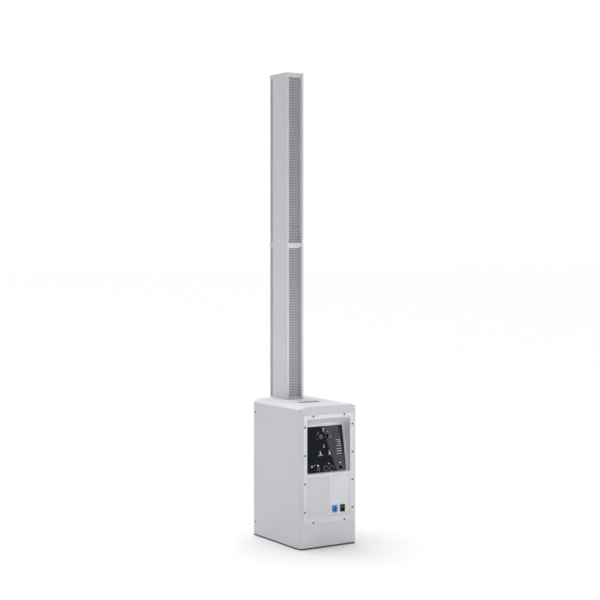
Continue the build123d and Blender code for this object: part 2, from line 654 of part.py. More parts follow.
def heat_sink():
    """Finned plate that shows through the panel's bay."""
    left, right = sink_sides()
    plate = block(left - 5, right + 2, BAY_REAR - SINK_PLATE, BAY_REAR, FIN_BOTTOM - 5, FIN_TOP + 5)
    boss = block(left, right, BAY_REAR, PANEL_FACE - FIN_FLOOR_DEPTH, FIN_BOTTOM, FIN_TOP)
    sink = plate + boss
    for i in range(FIN_COUNT):
        x = FIN_FIRST_X + i * FIN_PITCH
        fin = block(x - FIN_WIDTH / 2, x + FIN_WIDTH / 2, PANEL_FACE - FIN_FLOOR_DEPTH,
                    PANEL_FACE - FIN_DEPTH, FIN_BOTTOM, FIN_TOP)
        tips = [e for e in fin.edges().filter_by(Axis.Z) if e.center().Y > PANEL_FACE - FIN_DEPTH - 0.1]
        sink = sink + fillet(tips, FIN_TIP_RADIUS)
    return sink


def control_glass():
    """Black console plate with holes for the controls, lamps and sockets."""
    outline = RectangleRounded(2 * GLASS_HALF_WIDTH, GLASS_LENGTH, GLASS_RADIUS - FIT_GAP)
    plate = on_glass(0, GLASS_LENGTH / 2, GLASS_PROUD - GLASS_THICKNESS, extrude(outline, GLASS_THICKNESS))
    return plate - console_holes()


def console_holes():
    """Bars that cut every opening in the console's glass."""
    holes = [(x, s, BUSH_RADIUS + FIT_GAP) for x, s in KNOB_PLACES.values()]
    holes += [(x, s, BUTTON_RADIUS + BUTTON_GAP) for x, s in BUTTON_PLACES.values()]
    holes += [(x, s, SOCKET_RADIUS + FIT_GAP) for x, s in (*COMBO_PLACES, LINK_PLACE)]
    holes += [(*JACK_PLACE, JACK_RADIUS + FIT_GAP)]
    holes += [(x, s, LAMP_RADIUS) for x, s in LAMP_PLACES]
    return Compound(children=[on_glass(x, s, 0, peg(radius, -30, 5)) for x, s, radius in holes])


def control_board():
    """Circuit board that carries the encoders, switches and lamps."""
    outline = Rectangle(BOARD_WIDTH, BOARD_LENGTH)
    return on_glass(0, BOARD_MIDDLE, BOARD_BACK, extrude(outline, BOARD_FRONT - BOARD_BACK))


def knob_encoders():
    """Rotary encoders: square bodies on the board and threaded bushes through the glass."""
    outline = Rectangle(ENCODER_SIZE, ENCODER_SIZE)
    body = Pos(0, 0, BOARD_FRONT) * extrude(outline, ENCODER_TOP - BOARD_FRONT)
    bush = peg(BUSH_RADIUS, ENCODER_TOP, 1.0)
    bore = peg(SHAFT_RADIUS + RUNNING_CLEARANCE, BOARD_FRONT + 2, 2.0)
    return group([on_glass(x, s, 0, body + bush - bore) for x, s in KNOB_PLACES.values()])


def knob(name):
    """Turned knob with finger flutes and a pointer groove, bored for its shaft."""
    top = KNOB_BOTTOM + KNOB_HEIGHT
    cap = peg(KNOB_RADIUS, KNOB_BOTTOM, top)
    cap = fillet(cap.edges().sort_by(Axis.Z)[-1], KNOB_EDGE_RADIUS)
    for i in range(KNOB_FLUTES):
        flute = Pos(KNOB_RADIUS + FLUTE_RADIUS / 2, 0, 0) * peg(FLUTE_RADIUS, KNOB_BOTTOM + 2.5, top + 1)
        cap = cap - Rot(0, 0, i * 360 / KNOB_FLUTES) * flute
    cap = cap - block(-POINTER_WIDTH / 2, POINTER_WIDTH / 2, 3.0, 9.0, top - POINTER_WIDTH / 2, top + 1)
    cap = cap - peg(SHAFT_RADIUS, KNOB_BOTTOM - 1, top - SHAFT_RECESS)
    return on_glass(*KNOB_PLACES[name], 0, cap)


def knob_shaft(name):
    """Steel shaft from the encoder into the knob."""
    end = KNOB_BOTTOM + KNOB_HEIGHT - SHAFT_RECESS
    return on_glass(*KNOB_PLACES[name], 0, peg(SHAFT_RADIUS, BOARD_FRONT + 2.5, end))


def push_button(name):
    """Plunger with a retaining collar behind the glass."""
    stem = peg(BUTTON_RADIUS, -8.0, BUTTON_PROUD)
    stem = fillet(stem.edges().sort_by(Axis.Z)[-1], 0.7)
    collar = peg(BUTTON_RADIUS + COLLAR_WIDTH, -3.7, -2.7)
    return on_glass(*BUTTON_PLACES[name], 0, stem + collar)


def indicator_lights():
    """Light pipes from the board to the glass."""
    return group([on_glass(x, s, 0, peg(LAMP_RADIUS, BOARD_FRONT, GLASS_PROUD + 0.1))
                  for x, s in LAMP_PLACES])


def signal_sockets():
    """One small jack, two combination inputs and an output with its three pins."""
    rim = GLASS_PROUD + SOCKET_PROUD
    combo = peg(SOCKET_RADIUS, -SOCKET_DEPTH, rim) - peg(SOCKET_BORE, -12, 3) + tube(4.6, 3.3, -13, -1.5)
    combo = combo - peg(3.3, -SOCKET_DEPTH + 2, 0)
    link = peg(SOCKET_RADIUS, -20, rim) - peg(SOCKET_BORE, -14, 3)
    jack = peg(JACK_RADIUS, -16, rim) - peg(1.8, -14, 3)
    pins = [Pos(x, y, 0) * peg(PIN_RADIUS, -14, -3) for x, y in LINK_PINS]
    shells = [on_glass(x, s, 0, combo) for x, s in COMBO_PLACES] + [on_glass(*JACK_PLACE, 0, jack)]
    return group(shells + [on_glass(*LINK_PLACE, 0, solid) for solid in (link, *pins)])


def power_inlet():
    """Locking mains inlet: square flange, round mouth and a keyed centre."""
    outline = Pos(INLET_X, MAINS_Z) * RectangleRounded(*INLET_SIZE, 2.5)
    flange = along_y(outline, BAY_FLOOR, BAY_FLOOR + MAINS_FLANGE)
    inlet = flange + rod_y(INLET_X, MAINS_Z, BAY_FLOOR - 24, BAY_FLOOR + MAINS_FLANGE + 1, INLET_RADIUS)
    inlet = inlet - rod_y(INLET_X, MAINS_Z, BAY_FLOOR - 18, BAY_FLOOR + 5, INLET_BORE)
    centre = rod_y(INLET_X, MAINS_Z, BAY_FLOOR - 19, BAY_FLOOR - 1, INLET_CENTRE)
    for angle in (90, 210, 330):
        x = INLET_X + 3.0 * cos(radians(angle))
        z = MAINS_Z + 3.0 * sin(radians(angle))
        centre = centre - rod_y(x, z, BAY_FLOOR - 14, BAY_FLOOR + 1, 1.0)
    for x, z in INLET_SCREWS:
        inlet = inlet - rod_y(INLET_X + x, MAINS_Z + z, BAY_FLOOR - 1, BAY_FLOOR + 3, 1.6)
    return inlet + centre


def rocker_housing():
    """Switch body with a bezel and bearings for the rocker."""
    outline = Pos(SWITCH_X, MAINS_Z) * RectangleRounded(*SWITCH_SIZE, 1.5)
    bezel = along_y(outline, BAY_FLOOR, BAY_FLOOR + MAINS_FLANGE)
    across, up = SWITCH_BODY
    body = block(SWITCH_X - across, SWITCH_X + across, BAY_FLOOR - 20, BAY_FLOOR + 1, MAINS_Z - up,
                 MAINS_Z + up)
    across, up = SWITCH_POCKET
    pocket = block(SWITCH_X - across, SWITCH_X + across, BAY_FLOOR - 12, BAY_FLOOR + 5, MAINS_Z - up,
                   MAINS_Z + up)
    reach = TRUNNION_LENGTH / 2 + 0.1
    bearing = Rot(0, 90, 0) * peg(TRUNNION_RADIUS + RUNNING_CLEARANCE, -reach, reach)
    return bezel + body - pocket - Pos(SWITCH_X, BAY_FLOOR + ROCKER_AXIS, MAINS_Z) * bearing


def mains_rocker():
    """Rocker with moulded trunnions, resting with its upper end pressed in."""
    rocker = along_x(Polygon(*ROCKER_OUTLINE, align=None), -7.6, 7.6)
    reach = TRUNNION_LENGTH / 2
    trunnion = Rot(0, 90, 0) * peg(TRUNNION_RADIUS, -reach, reach)
    tilted = Rot(ROCKER_TILT, 0, 0) * (Pos(0, -ROCKER_AXIS, 0) * rocker + trunnion)
    return Pos(SWITCH_X, BAY_FLOOR + ROCKER_AXIS, MAINS_Z) * tilted


def power_supply():
    """Screened supply in the lower corner of the panel."""
    can = block(*SUPPLY_SPANS)
    return fillet(can.edges().filter_by(Axis.Y), 2.0)


def amplifier_module():
    """Power stage clamped to the back of the heat sink."""
    board_front, board_back = AMPLIFIER_BOARD_SPANS[2:4]
    module = block(*AMPLIFIER_BOARD_SPANS)
    module = module + block(*SPREADER_X, board_back, BAY_REAR - SINK_PLATE, *SPREADER_Z)
    for x in COIL_XS:
        for z in COIL_ZS:
            module = module + rod_y(x, z, board_front - COIL_LENGTH, board_front, COIL_RADIUS)
    return module


# ---- Column segments ----

def column_cap(front, z0, z1):
    """Full-section end plate with rounded corners."""
    depth = COLUMN_BACK - front
    plan = Pos(0, (COLUMN_BACK + front) / 2, z0) * extrude(Rectangle(2 * COLUMN_HALF_WIDTH, depth), z1 - z0)
    uprights = plan.edges().filter_by(Axis.Z)
    rear = [e for e in uprights if e.center().Y > front + 1]
    plate = fillet(rear, BACK_CORNER)
    ahead = [e for e in plate.edges().filter_by(Axis.Z) if e.center().Y < front + 1]
    return fillet(ahead, FRONT_CORNER)


def column_profile(z0, z1):
    """Extruded casing: two sides, rear returns and a windowed web behind the rear grille."""
    half = COLUMN_HALF_WIDTH
    web_front = COLUMN_BACK - REAR_RECESS - COLUMN_SHEET - CLOTH_THICKNESS
    height = z1 - z0
    outer = Pos(0, (COLUMN_BACK + PROFILE_FRONT) / 2) * Rectangle(2 * half, COLUMN_BACK - PROFILE_FRONT)
    outer = fillet([v for v in outer.vertices() if v.Y > COLUMN_BACK - 1], BACK_CORNER)
    inner_back = web_front - PROFILE_WALL
    inside = Pos(0, (inner_back + PROFILE_FRONT - 1) / 2) * Rectangle(
        2 * (half - PROFILE_WALL), inner_back - PROFILE_FRONT + 1)
    channel = Pos(0, (COLUMN_BACK + 1 + web_front) / 2) * Rectangle(
        2 * REAR_OPENING, COLUMN_BACK + 1 - web_front)
    section = outer - inside - channel
    for side in (-1, 1):
        x = side * (REAR_OPENING + half - 0.5) / 2
        hollow = Pos(x, (COLUMN_BACK + inner_back) / 2) * Rectangle(
            half - REAR_OPENING - 2 * PROFILE_WALL + 0.5, COLUMN_BACK - inner_back - 2 * PROFILE_WALL)
        section = section - hollow
    casing = Pos(0, 0, z0) * extrude(section, height)
    count = int(height // DRIVER_PITCH)
    pitch = height / count
    for i in range(count):
        middle = z0 + (i + 0.5) * pitch
        reach = pitch / 2 - WEB_BAR
        casing = casing - block(-WEB_WINDOW, WEB_WINDOW, inner_back - 1, web_front + 0.5, middle - reach,
                                middle + reach)
    return casing


def column_front_grille(z0, z1):
    """Folded front sheet with rounded corners. Its punched holes are left out here."""
    half = COLUMN_HALF_WIDTH - GRILLE_SIDE_INSET
    depth = PROFILE_FRONT - COLUMN_GRILLE_FRONT
    outer = Pos(0, COLUMN_GRILLE_FRONT + depth / 2) * Rectangle(2 * half, depth)
    outer = fillet([v for v in outer.vertices() if v.Y < PROFILE_FRONT - 1], FRONT_CORNER)
    inner = Pos(0, COLUMN_GRILLE_FRONT + depth / 2 + COLUMN_SHEET) * Rectangle(
        2 * (half - COLUMN_SHEET), depth)
    inner = fillet([v for v in inner.vertices() if v.Y < PROFILE_FRONT - 1], FRONT_CORNER - COLUMN_SHEET)
    return Pos(0, 0, z0) * extrude(outer - inner, z1 - z0)


def column_rear_grille(z0, z1):
    """Flat sheet at the bottom of the rear channel. Its punched holes are left out here."""
    half = REAR_OPENING - FIT_GAP
    front = COLUMN_BACK - REAR_RECESS - COLUMN_SHEET
    return block(-half, half, front, front + COLUMN_SHEET, z0, z1)


def damping_cloth(z0, z1):
    """Acoustic cloth between the rear grille and the web."""
    half = REAR_OPENING - FIT_GAP
    back = COLUMN_BACK - REAR_RECESS - COLUMN_SHEET
    return block(-half, half, back - CLOTH_THICKNESS, back, z0, z1)


def column_baffle(z0, z1, centres, slot=None):
    """Board across the casing's front, with a hole for each driver."""
    half = COLUMN_HALF_WIDTH - PROFILE_WALL - 0.1
    board = block(-half, half, PROFILE_FRONT, PROFILE_FRONT + COLUMN_BAFFLE, z0, z1)
    for z in centres:
        board = board - rod_y(0, z, PROFILE_FRONT - 1, PROFILE_FRONT + COLUMN_BAFFLE + 1, DRIVER_HOLE)
    if slot:
        board = board - block(-HORN_SLOT_HALF_WIDTH, HORN_SLOT_HALF_WIDTH, PROFILE_FRONT - 1,
                              PROFILE_FRONT + COLUMN_BAFFLE + 1, *slot)
    return board


def column_drivers(centres):
    """Small full-range drivers: square flange, basket and magnet."""
    flange = extrude(Rectangle(DRIVER_FLANGE, DRIVER_FLANGE), 2) - peg(FLANGE_HOLE, -1, 3)
    driver = turned(BASKET_OUTLINE) + flange
    return group([facing_front(driver, 0, PROFILE_FRONT, z) for z in centres])


def column_driver_cones(centres):
    """Cones with rolled edges and dust caps."""
    cone = turned(DRIVER_CONE_OUTLINE)
    return group([facing_front(cone, 0, PROFILE_FRONT, z) for z in centres])


def column_foot(z0, cap, front, spigot):
    """Bottom plate with a hollow spigot under it. spigot is half width, front, back and length."""
    half, y0, y1, length = spigot
    wall = SPIGOT_WALL
    plate = column_cap(front, z0, z0 + cap)
    stem = block(-half, half, y0, y1, z0 - length, z0 + cap / 2)
    hollow = block(-half + wall, half - wall, y0 + wall, y1 - wall, z0 - length - 1, z0 - 1)
    return plate + stem - hollow


def column_head(z1, cap):
    """Plain top plate."""
    return column_cap(COLUMN_CAP_FRONT, z1 - cap, z1)


def socketed_head(z1, cap, spigot):
    """Top plate with a socket for the next segment's spigot."""
    half, y0, y1, length = spigot
    gap = PLUG_CLEARANCE
    wall = HEAD_SOCKET_WALL
    floor = z1 - length - BOTTOM_CLEARANCE
    cup = block(-half - gap - wall, half + gap + wall, y0 - gap - wall, y1 + gap + wall, floor - wall,
                z1 - cap / 2)
    hole = block(-half - gap, half + gap, y0 - gap, y1 + gap, floor, z1 + 1)
    return column_head(z1, cap) + cup - hole


def tweeter_horn(z0, z1):
    """Tall waveguide that fills the top of the upper baffle."""
    front = PROFILE_FRONT - HORN_PROUD
    body = block(-HORN_HALF_WIDTH, HORN_HALF_WIDTH, front, PROFILE_FRONT, z0, z1)
    half = HORN_SLOT_HALF_WIDTH - 0.5
    throat = block(-half, half, PROFILE_FRONT, PROFILE_FRONT + HORN_DEPTH, z0 + HORN_LAP + 0.5,
                   z1 - HORN_LAP - 0.5)
    mouth_plane = Plane(origin=(0, front, (z0 + z1) / 2), x_dir=(1, 0, 0), z_dir=(0, -1, 0))
    mouth = extrude(mouth_plane * Rectangle(34, z1 - z0 - 36), -27, taper=24)
    return body + throat - mouth


def tweeter_motor(z):
    """Compression driver behind the waveguide."""
    front = PROFILE_FRONT + HORN_DEPTH
    back = front + MOTOR_DEPTH
    cap = rod_y(0, z, back, back + MOTOR_CAP_DEPTH, MOTOR_CAP_RADIUS)
    return rod_y(0, z, front, back, MOTOR_RADIUS) + cap


def column_nodes(name, z0, z1, foot_cap, head_cap, first_driver):
    """The pieces that both segments share."""
    low = z0 + foot_cap
    high = z1 - head_cap
    centres = [first_driver + i * DRIVER_PITCH for i in range(DRIVER_COUNT)]
    return {
        f"{name}_profile": column_profile(low, high),
        f"{name}_front_grille": column_front_grille(low, high),
        f"{name}_rear_grille": column_rear_grille(low, high),
        f"{name}_damping_cloth": damping_cloth(low, high),
        f"{name}_drivers": column_drivers(centres),
        f"{name}_driver_cones": column_driver_cones(centres),
    }, low, high, centres


def build():
    """Every node of the system, by name."""
    nodes = {
        "cabinet_shell": cabinet_shell(),
        "base_plate": base_plate(),
        "rubber_feet": rubber_feet(),
        "grille_side_screws": grille_side_screws(),
        "front_baffle": front_baffle(),
        "reflex_ports": reflex_ports(),
        "subwoofer_grille": subwoofer_grille(),
        "grille_foam": grille_foam(),
        "woofer_frames": group(on_baffle(woofer_frame())),
        "woofer_magnets": group(on_baffle(woofer_magnet())),
        "woofer_screws": woofer_screws(),
        "handle_cup": handle_cup(),
        "column_socket": column_socket(),
        "socket_contacts": blades((SPIGOT_FRONT + SPIGOT_BACK) / 2, SOCKET_FLOOR),
        "rear_panel": rear_panel(),
        "panel_screws": panel_screws(),
        "panel_gasket": panel_gasket(),
        "heat_sink": heat_sink(),
        "control_glass": control_glass(),
        "control_board": control_board(),
        "knob_encoders": knob_encoders(),
        "indicator_lights": indicator_lights(),
        "signal_sockets": signal_sockets(),
        "power_inlet": power_inlet(),
        "rocker_housing": rocker_housing(),
        "mains_rocker": mains_rocker(),
        "power_supply": power_supply(),
        "amplifier_module": amplifier_module(),
    }
    for name, z in WOOFER_HEIGHTS.items():
        nodes[f"{name}_surround"] = facing_front(woofer_surround(), 0, BAFFLE_FRONT, z)
        nodes[f"{name}_cone"] = facing_front(woofer_cone(), 0, BAFFLE_FRONT, z)
    for name in KNOB_PLACES:
        nodes[name] = knob(name)
        nodes[f"{name}_shaft"] = knob_shaft(name)
    for name in BUTTON_PLACES:
        nodes[name] = push_button(name)

    shared, low, high, centres = column_nodes("lower", CABINET_TOP, JOINT_Z, FOOT_CAP, JOINT_CAP,
                                              CABINET_TOP + LOWER_FIRST_DRIVER)
    nodes.update(shared)
    nodes["lower_baffle"] = column_baffle(low, high, centres)
    nodes["lower_foot"] = column_foot(CABINET_TOP, FOOT_CAP, COLUMN_GRILLE_FRONT, LOWER_SPIGOT)
    nodes["lower_head"] = socketed_head(JOINT_Z, JOINT_CAP, UPPER_SPIGOT)
    nodes["lower_plug"] = plug_in_spigot(CABINET_TOP, LOWER_SPIGOT)
    front, back, length = UPPER_SPIGOT[1:]
    nodes["lower_contacts"] = blades((front + back) / 2, JOINT_Z - length - BOTTOM_CLEARANCE)

    shared, low, high, centres = column_nodes("upper", JOINT_Z, SYSTEM_TOP, JOINT_CAP, CROWN_CAP,
                                              JOINT_Z + UPPER_FIRST_DRIVER)
    nodes.update(shared)
    slot = (high - HORN_SLOT[0], high - HORN_SLOT[1])
    nodes["upper_baffle"] = column_baffle(low, high, centres, slot)
    nodes["upper_foot"] = column_foot(JOINT_Z, JOINT_CAP, COLUMN_CAP_FRONT, UPPER_SPIGOT)
    nodes["upper_head"] = column_head(SYSTEM_TOP, CROWN_CAP)
    nodes["upper_plug"] = plug_in_spigot(JOINT_Z, UPPER_SPIGOT)
    nodes["tweeter_horn"] = tweeter_horn(slot[0] - HORN_LAP, slot[1] + HORN_LAP)
    nodes["upper_drivers"] = group([nodes["upper_drivers"], tweeter_motor((slot[0] + slot[1]) / 2)])
    return nodes


if __name__ == "__main__":
    os.makedirs("parts", exist_ok=True)
    for node, shape in build().items():
        placed = [Pos(0, SYSTEM_SHIFT, 0) * solid for solid in shape.solids()]
        export_step(group(placed), f"parts/{node}.step")
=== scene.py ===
import json
from math import cos, pi, radians, sin, sqrt

import bpy
import bmesh
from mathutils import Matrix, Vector


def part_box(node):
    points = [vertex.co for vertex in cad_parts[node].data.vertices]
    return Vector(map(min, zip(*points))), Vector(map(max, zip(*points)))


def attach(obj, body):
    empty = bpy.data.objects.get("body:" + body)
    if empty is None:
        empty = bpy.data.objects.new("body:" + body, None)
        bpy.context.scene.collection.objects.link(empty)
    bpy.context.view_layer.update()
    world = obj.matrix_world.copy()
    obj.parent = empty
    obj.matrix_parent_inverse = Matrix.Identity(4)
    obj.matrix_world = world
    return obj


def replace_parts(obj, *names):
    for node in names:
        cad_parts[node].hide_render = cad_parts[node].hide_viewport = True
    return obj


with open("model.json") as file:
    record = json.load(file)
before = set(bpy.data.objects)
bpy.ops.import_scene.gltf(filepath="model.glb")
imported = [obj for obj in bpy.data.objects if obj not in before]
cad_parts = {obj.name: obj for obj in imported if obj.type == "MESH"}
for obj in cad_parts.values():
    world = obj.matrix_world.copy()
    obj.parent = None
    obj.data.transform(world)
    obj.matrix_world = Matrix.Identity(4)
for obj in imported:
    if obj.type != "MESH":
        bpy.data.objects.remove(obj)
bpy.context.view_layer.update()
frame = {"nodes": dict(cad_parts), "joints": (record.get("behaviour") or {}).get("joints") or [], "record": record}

MM = 0.001
NODES = frame["nodes"]

# The camera's place in metres and its turn in degrees, and the floor's reach in metres.
CAMERA_PLACE = (3.1123, 4.90285, 1.2446)
CAMERA_TURN = 147.71
FLOOR_REACH = 60.0

# Colours. Most of the outside is one white.
WHITE = (0.71, 0.71, 0.745)
PANEL_WHITE = (0.72, 0.72, 0.76)
FLOOR_WHITE = (0.83, 0.83, 0.83)
MARK_WHITE = (0.78, 0.79, 0.82)
BACKDROP_STRENGTH = 1.05
HORIZON = (0.19, 0.19, 0.21)
ZENITH = (0.05, 0.05, 0.055)

# Punched sheets: cell pitch, unpunched border, sheet thickness, open share of each cell, upright
# stretch of the rear cells, bends, and the foam behind.
CELL_PITCH = 6 * MM
PLAIN_BORDER = 2.8 * MM
COLUMN_SHEET = 1.2 * MM
SUBWOOFER_SHEET = 1.5 * MM
REAR_OPEN = 0.55
FRONT_OPEN = 0.52
REAR_STRETCH = 1.3
COLUMN_CORNER = 3 * MM
SUBWOOFER_CORNER = 2 * MM
FOAM_DEPTH = 1.3 * MM
FOAM_THICKNESS = 1.5 * MM
FOAM_STEPS = 96
# Corners are shared when they agree to a tenth of a micrometre, and cells smaller than this share
# of a squared radius are left out.
CORNER_GRID = 1e7
SLIVER = 1e-3

# Console marks, in millimetres: x to the left as seen from behind, s up the glass. A bar is x, s,
# width and height. Knob scales run SCALE_SWEEP degrees each way from straight up.
KNOB_XS = (23.8, -22.2)
KNOB_ROW = 146.0
SOCKET_ROW = 13.6
SCALE_RADIUS = 13.6
SCALE_SWEEP = 140
RING_WIDTH = 0.5
SOCKET_RINGS = ((2.8, 10.6), (-26.0, 10.6), (-70.4, 10.6), (40.1, 6.4))
TOP_BARS = ((23.8, 165.3, 4.2, 2.6), (-22.2, 165.3, 4.2, 2.6), (0.0, 178.6, 8.6, 3.4),
            (0.0, 167.6, 8.0, 1.6))
BUTTON_BARS = ((3.2, 111.2, 7.0, 1.6), (3.7, 101.3, 7.0, 1.8), (23.6, 69.5, 23.0, 1.9),
               (23.2, 86.4, 8.0, 0.9), (-21.4, 69.9, 11.0, 1.9), (-20.4, 87.4, 7.0, 1.6))
LIST_X = -74.0
LIST_HEIGHT = 2.0
LIST_BARS = ((128.2, 12.0), (121.0, 17.0), (113.0, 15.0), (104.6, 19.0), (91.3, 16.0), (81.4, 15.0),
             (70.6, 15.0))
SOCKET_BARS = ((-71.2, 32.5, 11.0, 2.8), (-13.8, 33.2, 8.0, 3.0), (70.8, 26.8, 8.0, 6.0),
               (58.0, 31.4, 4.0, 3.0), (40.5, 28.3, 8.0, 6.0))


# ---------------------------------------------------------------- camera, light and floor

def camera():
    """Level camera behind the system, on its +X side and well above the subwoofer."""
    data = bpy.data.cameras.new("camera")
    data.sensor_width = 36.0
    data.lens = 81.33
    data.shift_y = -0.0874
    data.clip_end = 100.0
    view = bpy.data.objects.new("camera", data)
    view.location = CAMERA_PLACE
    view.rotation_euler = (radians(90), 0, radians(CAMERA_TURN))
    bpy.context.scene.collection.objects.link(view)
    bpy.context.scene.camera = view


def area_light(name, place, target, size, radiance, tilt=0.0):
    """Rectangular soft light of a given radiance, aimed at a point and rolled by tilt degrees."""
    data = bpy.data.lights.new(name, "AREA")
    data.shape = "RECTANGLE"
    data.size, data.size_y = size
    data.energy = radiance * pi * size[0] * size[1]
    light = bpy.data.objects.new(name, data)
    light.location = place
    aim = (Vector(target) - Vector(place)).to_track_quat("-Z", "Y")
    light.rotation_euler = aim.to_euler()
    light.rotation_euler.rotate_axis("Z", radians(tilt))
    bpy.context.scene.collection.objects.link(light)


def sun(name, direction, strength, angle):
    """Very soft directional light that falls evenly on the whole floor."""
    data = bpy.data.lights.new(name, "SUN")
    data.energy = strength
    data.angle = radians(angle)
    light = bpy.data.objects.new(name, data)
    light.rotation_euler = Vector(direction).to_track_quat("-Z", "Y").to_euler()
    bpy.context.scene.collection.objects.link(light)


def studio():
    """Dim room with a large soft light overhead and a backdrop that reads as plain white."""
    world = bpy.data.worlds.new("studio")
    bpy.context.scene.world = world
    world.use_nodes = True
    tree = world.node_tree
    tree.nodes.clear()
    out = tree.nodes.new("ShaderNodeOutputWorld")
    mix = tree.nodes.new("ShaderNodeMixShader")
    path = tree.nodes.new("ShaderNodeLightPath")
    seen = tree.nodes.new("ShaderNodeBackground")
    seen.inputs["Color"].default_value = (1, 1, 1, 1)
    seen.inputs["Strength"].default_value = BACKDROP_STRENGTH
    room = tree.nodes.new("ShaderNodeBackground")
    room.inputs["Strength"].default_value = 1.0
    coord = tree.nodes.new("ShaderNodeTexCoord")
    split = tree.nodes.new("ShaderNodeSeparateXYZ")
    ramp = tree.nodes.new("ShaderNodeValToRGB")
    ramp.color_ramp.elements[0].position = 0.0
    ramp.color_ramp.elements[0].color = (*HORIZON, 1)
    ramp.color_ramp.elements[1].position = 0.5
    ramp.color_ramp.elements[1].color = (*ZENITH, 1)
    tree.links.new(coord.outputs["Generated"], split.inputs[0])
    tree.links.new(split.outputs["Z"], ramp.inputs["Fac"])
    tree.links.new(ramp.outputs["Color"], room.inputs["Color"])
    tree.links.new(path.outputs["Is Camera Ray"], mix.inputs["Fac"])
    tree.links.new(room.outputs[0], mix.inputs[1])
    tree.links.new(seen.outputs[0], mix.inputs[2])
    tree.links.new(mix.outputs[0], out.inputs["Surface"])
    sun("overhead bank", direction=(0.0, 0.22, -1.0), strength=3.8, angle=70)
    area_light("broad light", place=(2.9, 5.6, 1.7), target=(0, 0, 0.6), size=(3.0, 2.0),
               radiance=1.8)
    area_light("strip light", place=(-2.555, 3.89, 1.0), target=(0, 0.15, 0.4), size=(0.125, 1.3),
               radiance=1.3, tilt=8)
    area_light("low light", place=(-2.5, 3.9, 0.40), target=(0, 0, 0.7), size=(1.1, 0.7),
               radiance=10.0)
    bpy.context.scene.view_settings.view_transform = "Standard"


def floor():
    """Plain pale floor that runs out of sight."""
    mesh = bpy.data.meshes.new("floor")
    corners = [(x * FLOOR_REACH, y * FLOOR_REACH, 0) for x, y in ((-1, -1), (1, -1), (1, 1), (-1, 1))]
    mesh.from_pydata(corners, [], [(0, 1, 2, 3)])
    ground = bpy.data.objects.new("floor", mesh)
    bpy.context.scene.collection.objects.link(ground)
    finish = shader("floor_white", FLOOR_WHITE, roughness=0.75)
    mottle(finish, FLOOR_WHITE, 0.008, 2.0)
    mesh.materials.append(finish.material)


# ---------------------------------------------------------------- materials

class Finish:
    """A material with its node tree and its main shader at hand."""

    def __init__(self, name):
        self.material = bpy.data.materials.new(name)
        self.material.use_nodes = True
        self.tree = self.material.node_tree
        self.shader = self.tree.nodes["Principled BSDF"]

    def add(self, kind, **inputs):
        node = self.tree.nodes.new(kind)
        for name, value in inputs.items():
            node.inputs[name].default_value = value
        return node

    def link(self, a, b):
        self.tree.links.new(a, b)

    def place(self):
        """Coordinates fixed to the piece, in metres."""
        return self.add("ShaderNodeTexCoord").outputs["Object"]


def shader(name, color, roughness=0.5, metallic=0.0, **sockets):
    """A finish with constant values set on the shader's own sockets."""
    finish = Finish(name)
    finish.shader.inputs["Base Color"].default_value = (*color, 1)
    finish.shader.inputs["Roughness"].default_value = roughness
    finish.shader.inputs["Metallic"].default_value = metallic
    for socket, value in sockets.items():
        finish.shader.inputs[socket.replace("_", " ")].default_value = value
    return finish


def mottle(finish, color, depth, scale):
    """Slight variation of colour from place to place."""
    noise = finish.add("ShaderNodeTexNoise", Scale=scale, Detail=4.0, Roughness=0.6)
    ramp = finish.add("ShaderNodeValToRGB")
    low, high = ramp.color_ramp.elements
    low.position, high.position = 0.35, 0.65
    low.color = (*[max(0.0, c * (1 - depth)) for c in color], 1)
    high.color = (*[min(1.0, c * (1 + depth)) for c in color], 1)
    finish.link(finish.place(), noise.inputs["Vector"])
    finish.link(noise.outputs["Fac"], ramp.inputs["Fac"])
    finish.link(ramp.outputs["Color"], finish.shader.inputs["Base Color"])


def uneven_gloss(finish, low, high, scale):
    """Roughness that wanders between two values, as on handled plastic."""
    noise = finish.add("ShaderNodeTexNoise", Scale=scale, Detail=3.0)
    spread = finish.add("ShaderNodeMapRange")
    spread.inputs["To Min"].default_value = low
    spread.inputs["To Max"].default_value = high
    finish.link(finish.place(), noise.inputs["Vector"])
    finish.link(noise.outputs["Fac"], spread.inputs["Value"])
    finish.link(spread.outputs["Result"], finish.shader.inputs["Roughness"])


def grain(finish, scale, height, strength=1.0, stretch=(1, 1, 1), detail=3.0):
    """Surface texture: noise of a given scale, stretched along an axis if need be."""
    mapping = finish.add("ShaderNodeMapping")
    mapping.inputs["Scale"].default_value = stretch
    noise = finish.add("ShaderNodeTexNoise", Scale=scale, Detail=detail)
    bump = finish.add("ShaderNodeBump")
    bump.inputs["Strength"].default_value = strength
    bump.inputs["Distance"].default_value = height
    finish.link(finish.place(), mapping.inputs["Vector"])
    finish.link(mapping.outputs["Vector"], noise.inputs["Vector"])
    finish.link(noise.outputs["Fac"], bump.inputs["Height"])
    finish.link(bump.outputs["Normal"], finish.shader.inputs["Normal"])


def textured_paint(name, color):
    """Hard-wearing cabinet paint with a fine pebbled texture."""
    finish = shader(name, color, Specular_IOR_Level=0.4)
    mottle(finish, color, 0.012, 9.0)
    uneven_gloss(finish, 0.46, 0.58, 30.0)
    grain(finish, 900.0, 0.00010, 0.35)
    return finish


def powder_coat(name, color):
    """Smooth satin powder coat with a faint orange peel."""
    finish = shader(name, color, Specular_IOR_Level=0.95)
    mottle(finish, color, 0.010, 6.0)
    uneven_gloss(finish, 0.32, 0.38, 22.0)
    grain(finish, 420.0, 0.00008, 0.25)
    return finish


def moulded(name, color, low=0.42, high=0.55, gleam=0.5, texture=1300.0):
    """Injection-moulded plastic with a spark-eroded skin."""
    finish = shader(name, color, Specular_IOR_Level=gleam)
    mottle(finish, color, 0.02, 14.0)
    uneven_gloss(finish, low, high, 40.0)
    grain(finish, texture, 0.00006, 0.3)
    return finish


